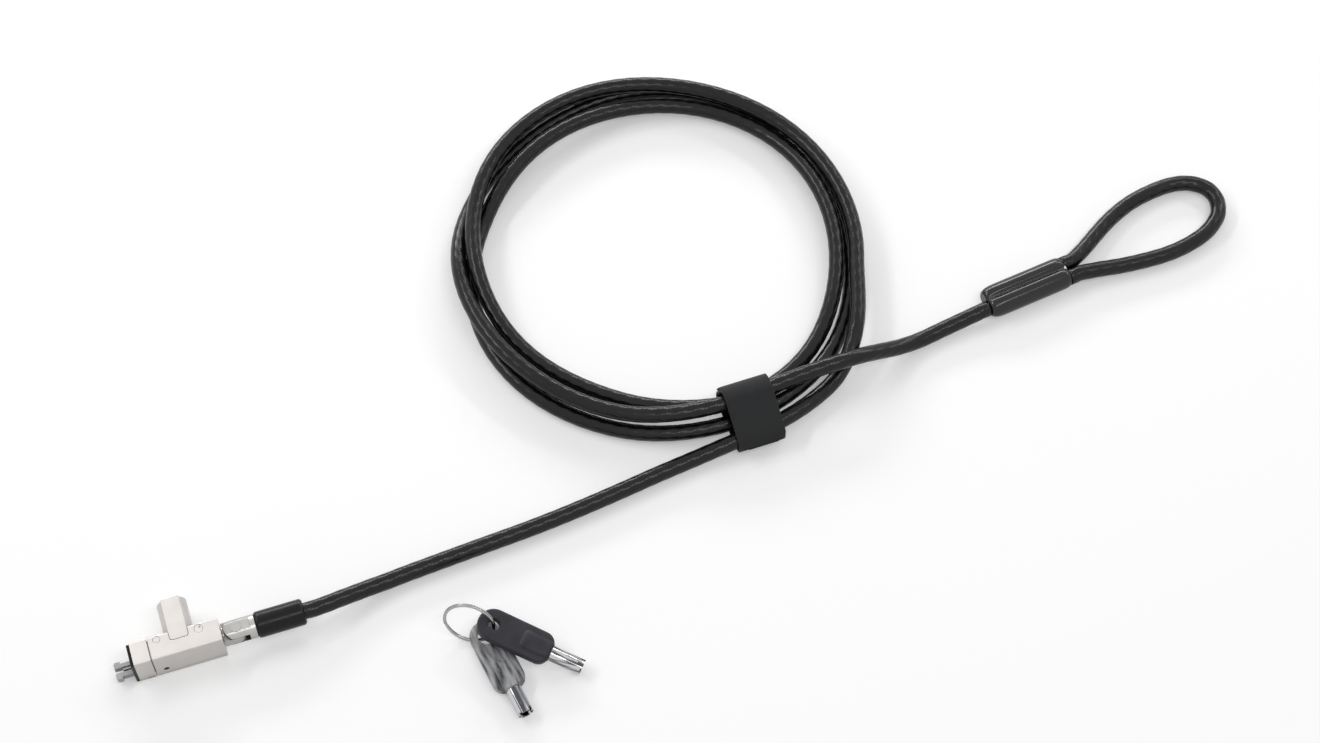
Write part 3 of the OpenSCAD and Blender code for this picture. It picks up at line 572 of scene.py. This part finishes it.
# The loose end lies over the band, from low on the outer side to high on the inner
# side. It is thinner, and its tip hangs a little way off the band.
LOOSE_FROM = 5.2 * MM
LOOSE_TO = 9 * MM
LOOSE_T = STRAP_T - 0.3 * MM
over = round_passes(STRAP_IN + STRAP_T + 0.05 * MM)
first = min(range(len(over) // 2), key=lambda i: abs(over[i].y - LOOSE_FROM))
last = min((i for i, p in enumerate(over) if p.x > 0), key=lambda i: abs(over[i].y - LOOSE_TO))
hang = (over[first] - over[first + 1]).normalized()
hang = (hang + Vector((-0.9, 0))).normalized()
loose = [over[first] + hang * 0.5 * MM * k for k in (2, 1)] + over[first : last + 1]
add_strap(strap_shape, loose, LOOSE_T, False)

# Woven black nylon: dull charcoal with a fine rib and a soft sheen at its folds.
# The real threads are 0.3 mm apart; drawn 0.7 mm apart so that they show.
webbing, webbing_tree, webbing_skin = new_material("woven black nylon")
webbing_at = add(webbing_tree, "TexCoord").outputs["Object"]
THREAD = 0.7 * MM
threads = add(
    webbing_tree,
    "TexWave",
    {"Vector": webbing_at, "Scale": 2 * math.pi / THREAD / 20, "Distortion": 0.6, "Detail": 2},
    bands_direction="X",
).outputs["Fac"]
fuzz = add(
    webbing_tree, "TexNoise", {"Vector": webbing_at, "Scale": 1 / (0.5 * MM), "Detail": 5}
).outputs["Fac"]
pile = add(webbing_tree, "Math", {0: threads, 1: 0.5, 2: fuzz}, operation="MULTIPLY_ADD").outputs[0]
webbing_bump = add(webbing_tree, "Bump", {"Height": pile, "Strength": 0.6, "Distance": 0.12 * MM})
webbing_shade = add(
    webbing_tree, "Mix", {"Factor": fuzz, 6: ink("#0f1011"), 7: ink("#232426")}, data_type="RGBA"
)
feed(
    webbing_skin,
    {
        "Base Color": webbing_shade.outputs[2],
        "Roughness": 0.7,
        "Normal": webbing_bump.outputs["Normal"],
        "Specular IOR Level": 0.25,
        "Sheen Weight": 0.1,
        "Sheen Roughness": 0.5,
    },
)

strap = put(
    "tie_strap_band", as_mesh("tie_strap_band", strap_shape), webbing, "cable"
)
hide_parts("tie_strap")

# ---- The double sleeve at the end loop ----------------------------------------------
# A glossy black moulded cover over the aluminium crimp: two barrels side by side
# with a shallow valley between them, rounded off at both ends.

SLEEVE_W = 13 * MM
SLEEVE_H = 2 * SLEEVE_MID * MM
SLEEVE_SIDES = 96
VALLEY = 0.5 * MM
VALLEY_W = 1.1 * MM


def sleeve_section(inset):
    """The cover's outline at an inset from its full size, in y and z."""
    half_h = SLEEVE_H / 2 - inset
    barrel_y = (SLEEVE_W - SLEEVE_H) / 2
    valley = VALLEY * max(0, 1 - inset / VALLEY_W)
    outline = []
    for k in range(SLEEVE_SIDES):
        a = 360 * (k + 0.5) / SLEEVE_SIDES
        y = (barrel_y + half_h) * cos_d(a)
        z = math.sqrt(max(0, half_h**2 - (abs(y) - barrel_y) ** 2))
        z -= valley * math.exp(-((y / VALLEY_W) ** 2))
        outline.append((y, math.copysign(z, sin_d(a))))
    return outline


# Distance along the cover, and how far its skin lies inside the full size there
sleeve_stations = [
    (0, 1.75), (0.3, 1.25), (1, 0.75), (2.2, 0.3), (4, 0.05), (6, 0), (12, 0), (18, 0),
    (26, 0), (31, 0), (32.4, 0.12), (33.3, 0.4), (33.9, 0.8), (34.1, 1.1),
]  # fmt: skip
sleeve_shape = bmesh.new()
sleeve_rings = [
    [sleeve_shape.verts.new((x * MM, y, SLEEVE_H / 2 + z)) for y, z in sleeve_section(inset * MM)]
    for x, inset in sleeve_stations
]
join_rings(sleeve_shape, sleeve_rings)
sleeve_mesh = as_mesh("double_sleeve_cover", sleeve_shape, sleeve_place)


def moulded(name, dark, light, roughness, grain, relief, shine=0.22):
    """A moulded plastic or rubber with a faint mottle and grain of this size."""
    made, tree, skin = new_material(name)
    at = add(tree, "TexCoord").outputs["Object"]
    mottle = add(
        tree, "TexNoise", {"Vector": at, "Scale": 1 / (6 * MM), "Detail": 5}
    ).outputs["Fac"]
    pores = add(tree, "TexNoise", {"Vector": at, "Scale": 1 / grain, "Detail": 3}).outputs["Fac"]
    shade = add(tree, "Mix", {"Factor": mottle, 6: ink(dark), 7: ink(light)}, data_type="RGBA")
    gloss = add(
        tree, "MapRange", {"Value": mottle, "To Min": roughness - 0.07, "To Max": roughness + 0.07}
    )
    bump = add(tree, "Bump", {"Height": pores, "Strength": 0.5, "Distance": relief})
    feed(
        skin,
        {
            "Base Color": shade.outputs[2],
            "Roughness": gloss.outputs["Result"],
            "Normal": bump.outputs["Normal"],
            "Specular IOR Level": shine,
        },
    )
    return made


# Injection-moulded PVC, glossy: a sharp pale line along each barrel
gloss_pvc = moulded(
    "glossy moulded PVC", "#0b0b0c", "#161617", 0.17, 0.5 * MM, 0.015 * MM, shine=0.45
)
sleeve_cover = put("double_sleeve_cover", sleeve_mesh, gloss_pvc, "cable")
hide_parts("eye_ferrule")


def dress(material, *nodes):
    """Gives CAD nodes this finish."""
    for name in nodes:
        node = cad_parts[name]
        for place in node.material_slots:
            place.material = material


def metal(name, shade, roughness, spread, grain, relief, edge=0, drawn=None):
    """A metal whose polish varies in patches, with painted shade that darkens its colour in corners,
    creases and near the card, and with its edges worn this round.
    A drawn one has lines along it instead, which point this way: dark and pale lines painted into
    its colour as reflections."""
    made, tree, skin = new_material(name)
    at = add(tree, "TexCoord").outputs["Object"]
    if drawn is None:
        patches = add(
            tree, "TexNoise", {"Vector": at, "Scale": 1 / (5 * MM), "Detail": 6}
        ).outputs["Fac"]
    else:
        # Painted reflections: dark and pale lines along the metal, in its colour
        laid = add(
            tree,
            "Mapping",
            {"Vector": at, "Rotation": (0, 0, math.radians(drawn)), "Scale": (25, 1, 1)},
            vector_type="TEXTURE",
        ).outputs["Vector"]
        lines = add(
            tree, "TexNoise", {"Vector": laid, "Scale": 1 / (1.6 * MM), "Detail": 2}
        ).outputs["Fac"]
        patches = add(
            tree, "MapRange", {"Value": lines, "From Min": 0.42, "From Max": 0.58}
        ).outputs["Result"]
    dust = add(tree, "TexNoise", {"Vector": at, "Scale": 1 / grain, "Detail": 4}).outputs["Fac"]
    tone = add(
        tree, "Mix", {"Factor": patches, 6: ink(shade[0]), 7: ink(shade[1])}, data_type="RGBA"
    ).outputs[2]
    # Painted shade: ambient occlusion darkens the colour in corners, creases, between parts and near
    # the card
    hidden = add(tree, "AmbientOcclusion", {"Distance": 4 * MM}, samples=6).outputs["AO"]
    painted_corner_shade = add(
        tree, "MapRange", {"Value": hidden, "From Min": 0.2, "To Min": 0.55, "To Max": 1.0}
    ).outputs["Result"]
    tone_with_painted_shade = add(
        tree,
        "Mix",
        {"Factor": 1.0, 6: tone, 7: painted_corner_shade},
        data_type="RGBA",
        blend_type="MULTIPLY",
    )
    gloss = add(
        tree,
        "MapRange",
        {"Value": patches, "To Min": roughness - spread, "To Max": roughness + spread},
    )
    bump = add(tree, "Bump", {"Height": dust, "Strength": 0.4, "Distance": relief})
    if edge:
        worn = add(tree, "Bevel", {"Radius": edge}, samples=6)
        feed(bump, {"Normal": worn.outputs["Normal"]})
    feed(
        skin,
        {
            "Base Color": tone_with_painted_shade.outputs[2],
            "Roughness": gloss.outputs["Result"],
            "Normal": bump.outputs["Normal"],
            "Metallic": 1,
        },
    )
    return made


# The crimp under the cover is a pressed aluminium block: pale and dull
aluminium = metal(
    "pressed aluminium", ("#b9bbbd", "#cfd1d3"), 0.42, 0.08, 0.4 * MM, 0.01 * MM
)
dress(aluminium, "eye_crimp", "crimp_ferrule")

# ---- The cable's end at the lock ----------------------------------------------------
# A moulded rubber sleeve covers the crimp on the bare rope's end and the yoke's
# stub. It is duller than the double sleeve and rounded at both ends.

# Moulded rubber: black, with a soft shine
soft_rubber = moulded(
    "moulded black rubber", "#080809", "#121213", 0.28, 0.35 * MM, 0.02 * MM
)
dress(soft_rubber, "cable_sleeve", "nose_gasket")
# The bare rope's galvanised wires: a dull blue grey
rope_steel = metal(
    "galvanised steel rope", ("#8f9294", "#b4b7b9"), 0.4, 0.1, 0.5 * MM, 0.08 * MM
)
dress(rope_steel, "cable_core_end")

# ---- The swivel: link, yoke and hinge pin ---------------------------------------------
# Turned steel, nickel plated: a shank that turns in the head, a tongue on a pin
# and a forked yoke. Bright, with a soft edge.

# Nickel on turned steel: bright and warm, with the turning marks polished away
turned_steel = metal(
    "turned steel, nickel plated",
    ("#a5a3a1", "#c1bfbc"),
    0.3,
    0.07,
    0.3 * MM,
    0.006 * MM,
    edge=0.15 * MM,
)
dress(turned_steel, "rear_link", "swivel_yoke", "hinge_pin")

# ---- The head: housing, collar and the pins in them ------------------------------------
# Die-cast zinc with a satin nickel plate: pale and even, faintly grained, with soft
# edges. The pins are driven in and ground flush, so their heads show as faint rings.

# Satin nickel: a pale, warm, even grey that spreads the lamps' light
satin_nickel = metal(
    "die-cast zinc, satin nickel plated",
    ("#c1bdba", "#cdc9c6"),
    0.42,
    0.04,
    0.25 * MM,
    0.008 * MM,
    edge=0.25 * MM,
)
dress(satin_nickel, "housing", "nose_collar", "lock_cartridge", "collar_pin", "swivel_pin")
# Drawn steel wire: bright and even
drawn_steel = metal(
    "drawn steel wire", ("#b5b6b8", "#c9cacb"), 0.28, 0.06, 0.25 * MM, 0.005 * MM, edge=0.1 * MM
)
dress(drawn_steel, "hook_pins", "driver_pins", "tumbler_springs")
# A hardened screw, blackened with oil: nearly black with a grey shine
oiled_steel = metal(
    "oil-blackened steel", ("#2e2d2c", "#45433f"), 0.4, 0.08, 0.3 * MM, 0.01 * MM
)
dress(oiled_steel, "stop_screw", "drive_cam")

# ---- The latch: hooks and slider ---------------------------------------------------------
# Two hooks that swing apart behind the laptop's slot, and the slider that wedges them.
# They are pressed from steel, hardened and tumbled, so their edges are rounded.

# Tumbled steel: mid grey and dull
hard_steel = metal(
    "hardened steel, tumbled", ("#8b8b8d", "#a9a9aa"), 0.3, 0.07, 0.3 * MM, 0.01 * MM, edge=0.12 * MM
)
dress(hard_steel, "far_hook", "near_hook", "latch_slider", "plug_spindle")

# ---- The lock cylinder -----------------------------------------------------------------
# A turned brass tumbler block fixed in the head, with pins in a ring round the
# spindle. In front of it sits the plug with the round keyway, of plated steel.

# Turned brass: yellow and bright
turned_brass = metal(
    "turned brass", ("#b08a45", "#caa25a"), 0.3, 0.06, 0.3 * MM, 0.006 * MM
)
dress(turned_brass, "tumbler_block", "key_pins")
dress(turned_steel, "key_plug")

# ---- The key ring --------------------------------------------------------------------
# A small split ring of sprung steel wire, two turns pressed together, which stands
# leaning in the holes of both grips.

RING_R = 8.8 * MM
RING_WIRE = 1.1 * MM
RING_TURN = -30.6
RING_LEAN = 73.7
ring_place = (
    Matrix.Translation((94.6 * MM, -23.2 * MM, RING_WIRE / 2 + RING_R * sin_d(RING_LEAN)))
    @ Matrix.Rotation(math.radians(RING_TURN), 4, "Z")
    @ Matrix.Rotation(math.radians(RING_LEAN), 4, "X")
)
RING_STEPS = 190
# The place of the wire's two ends, and how far it goes round from there either way
RING_ENDS = 200
RING_REACH = 355
# The share of that reach in which the wire steps up
RING_STEP_UP = 0.16
ring_line = []
for k in range(RING_STEPS + 1):
    # the wire steps from the lower turn to the upper one beside its two ends
    turned = 2 * k / RING_STEPS - 1
    step = max(-1, min(1, turned / RING_STEP_UP))
    height = RING_WIRE * 0.25 * math.sin(step * math.pi / 2)
    a = RING_ENDS + RING_REACH * turned
    ring_line.append(Vector((RING_R * cos_d(a), RING_R * sin_d(a), height)))


def ring_wire(gone, turn):
    """The wire's radius: flat where the two turns meet and round outside."""
    across, high = RING_WIRE / 2, RING_WIRE * 0.245
    power = 2.6
    reach = abs(cos_d(360 * turn) / across) ** power + abs(sin_d(360 * turn) / high) ** power
    return reach ** (-1 / power)


# Nickel on spring steel: darker than the head, with a sharp shine
sprung_steel = metal(
    "sprung steel, nickel plated", ("#969796", "#b2b2b0"), 0.26, 0.06, 0.3 * MM, 0.004 * MM
)
ring_mesh = sweep("split_key_ring", ring_line, ring_wire, 16, ring_place)
split_ring = put("split_key_ring", ring_mesh, sprung_steel, "ring")
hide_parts("key_ring")

# ---- The two keys ---------------------------------------------------------------------
# A steel tube key moulded into a flat plastic grip with a raised boss where the tube
# goes in, and a hole for the ring. One grip is black and the other clear grey.

GRIP_END = 5.9
GRIP_FRONT = 21.9
# The ring holes, and the way each key points as it lies
BLACK_HOLE = 4.2
GREY_HOLE = 6.4
BLACK_TURN = -41
GREY_TURN = -81.5


def grip_outline(inset):
    """The grip seen from above at an inset from its full size, in millimetres."""
    half = GRIP_END - inset
    front = GRIP_FRONT - inset
    corner = 4 - inset * 0.6
    heel = [Vector((half * cos_d(a), half * sin_d(a), 0)) for a in range(90, 271, 6)]
    side = [Vector((x, -half, 0)) for x in (4, 8, 12, 15)]
    side += [
        Vector((front - corner + corner * cos_d(a), -half + corner + corner * sin_d(a), 0))
        for a in range(-90, 1, 9)
    ]
    return heel + side + [Vector((p.x, -p.y, 0)) for p in reversed(side)]


BOSS_SIDES = 32
# How square the boss is in section: 1 would be an ellipse, and less is squarer
BOSS_SQUARE = 0.62


def grip_mesh(name, place, hole):
    """The grip: a plate with rounded edges, a hole with a soft lip and the boss."""
    shape = bmesh.new()
    # inset and height, up the outside of the plate
    levels = [
        (1.1, -1.8), (0.5, -1.72), (0.15, -1.45), (0, -1.0), (0, 0), (0, 1.0),
        (0.15, 1.45), (0.5, 1.72), (1.1, 1.8),
    ]  # fmt: skip
    sides = [
        [shape.verts.new((p.x, p.y, z)) for p in grip_outline(inset)] for inset, z in levels
    ]
    # distance from the bore's wall and height, down through the hole
    bore_levels = [(0.35, 1.8), (0.1, 1.7), (0, 1.4), (0, -1.4), (0.1, -1.7), (0.35, -1.8)]
    for out, z in bore_levels:
        ring = []
        for p in grip_outline(0):
            a = math.atan2(p.y, p.x)
            r = hole / 2 + out
            ring.append(shape.verts.new((r * math.cos(a), r * math.sin(a), z)))
        sides.append(ring)
    join_rings(shape, sides, closed=True)
    # the boss over the tube, from a low ramp to the front face, as place and half height
    stations = [
        (9.6, 1.2), (10.4, 1.75), (11.2, 2.3), (12, 2.6), (13.5, 2.72), (17, 2.75),
        (20.4, 2.75), (21.4, 2.6), (21.9, 2.2),
    ]  # fmt: skip
    rings = []
    for x, high in stations:
        wide = 4.0 if x < 20 else 4.0 - (x - 20) * 0.45
        ring = []
        for k in range(BOSS_SIDES):
            c, s = cos_d(360 * k / BOSS_SIDES), sin_d(360 * k / BOSS_SIDES)
            y = wide * math.copysign(abs(c) ** BOSS_SQUARE, c)
            z = high * math.copysign(abs(s) ** BOSS_SQUARE, s)
            ring.append(shape.verts.new((x, y, z)))
        rings.append(ring)
    join_rings(shape, rings)
    return as_mesh(name, shape, place @ Matrix.Scale(MM, 4))


TIP_Z = 2.9


def key_place(at, turn, out):
    """Where a key lies: at its ring hole, turned, with its tip down on the card. Its
    tube stands out of the grip by this length."""
    dip = math.asin((at[2] - TIP_Z) / (GRIP_FRONT + out))
    return (
        Matrix.Translation(Vector(at) * MM)
        @ Matrix.Rotation(math.radians(turn), 4, "Z")
        @ Matrix.Rotation(dip, 4, "Y")
    )


black_place = key_place((102.3, -27.3, 9.6), BLACK_TURN, 12)
grey_place = key_place((99.2, -27.8, 3.6), GREY_TURN, 10)

# Spark-textured ABS: charcoal and even, with a fine dull grain
black_abs = moulded("textured black ABS", "#1c1c20", "#3d3d43", 0.45, 0.25 * MM, 0.05 * MM)
black_grip = put(
    "black_key_bow",
    grip_mesh("black_key_bow", black_place, BLACK_HOLE),
    black_abs,
    "black_key",
)
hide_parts("black_key_grip")

# Clear grey polypropylene: milky, so the light goes some way in, with flow lines
# along the grip from the way it filled the mould
clear_grey, grey_tree, grey_skin = new_material("clear grey polypropylene")
grey_at = add(grey_tree, "TexCoord").outputs["Object"]
flow_place = add(
    grey_tree,
    "Mapping",
    {"Vector": grey_at, "Rotation": (0, 0, math.radians(GREY_TURN)), "Scale": (6, 1, 1)},
    vector_type="TEXTURE",
).outputs["Vector"]
flow = add(
    grey_tree, "TexNoise", {"Vector": flow_place, "Scale": 1 / (1.6 * MM), "Detail": 4}
).outputs["Fac"]
flow_lines = add(
    grey_tree, "MapRange", {"Value": flow, "From Min": 0.36, "From Max": 0.62}
).outputs["Result"]
grey_shade = add(
    grey_tree, "Mix", {"Factor": flow_lines, 6: ink("#2c2e31"), 7: ink("#c0c1c4")}, data_type="RGBA"
)
grey_bump = add(grey_tree, "Bump", {"Height": flow, "Strength": 0.3, "Distance": 0.05 * MM})
feed(
    grey_skin,
    {
        "Base Color": grey_shade.outputs[2],
        "Roughness": 0.35,
        "Normal": grey_bump.outputs["Normal"],
        "IOR": 1.49,
        "Transmission Weight": 0.3,
        "Subsurface Weight": 0.3,
        "Subsurface Scale": 1.5 * MM,
    },
)
grey_grip = put(
    "grey_key_bow",
    grip_mesh("grey_key_bow", grey_place, GREY_HOLE),
    clear_grey,
    "grey_key",
)
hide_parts("grey_key_grip")

# The tubes are drawn steel, bright chrome plated. The dark and pale lines along them are painted
# reflections in their colour.
for tube, turn in (("black_key_tube", BLACK_TURN), ("grey_key_tube", GREY_TURN)):
    # the dark and light tones here are painted reflection lines
    chrome = metal(
        "bright chrome plate, " + tube,
        ("#55565a", "#c9c9ca"),
        0.13,
        0.04,
        0.3 * MM,
        0.004 * MM,
        edge=0.08 * MM,
        drawn=turn,
    )
    dress(chrome, tube)
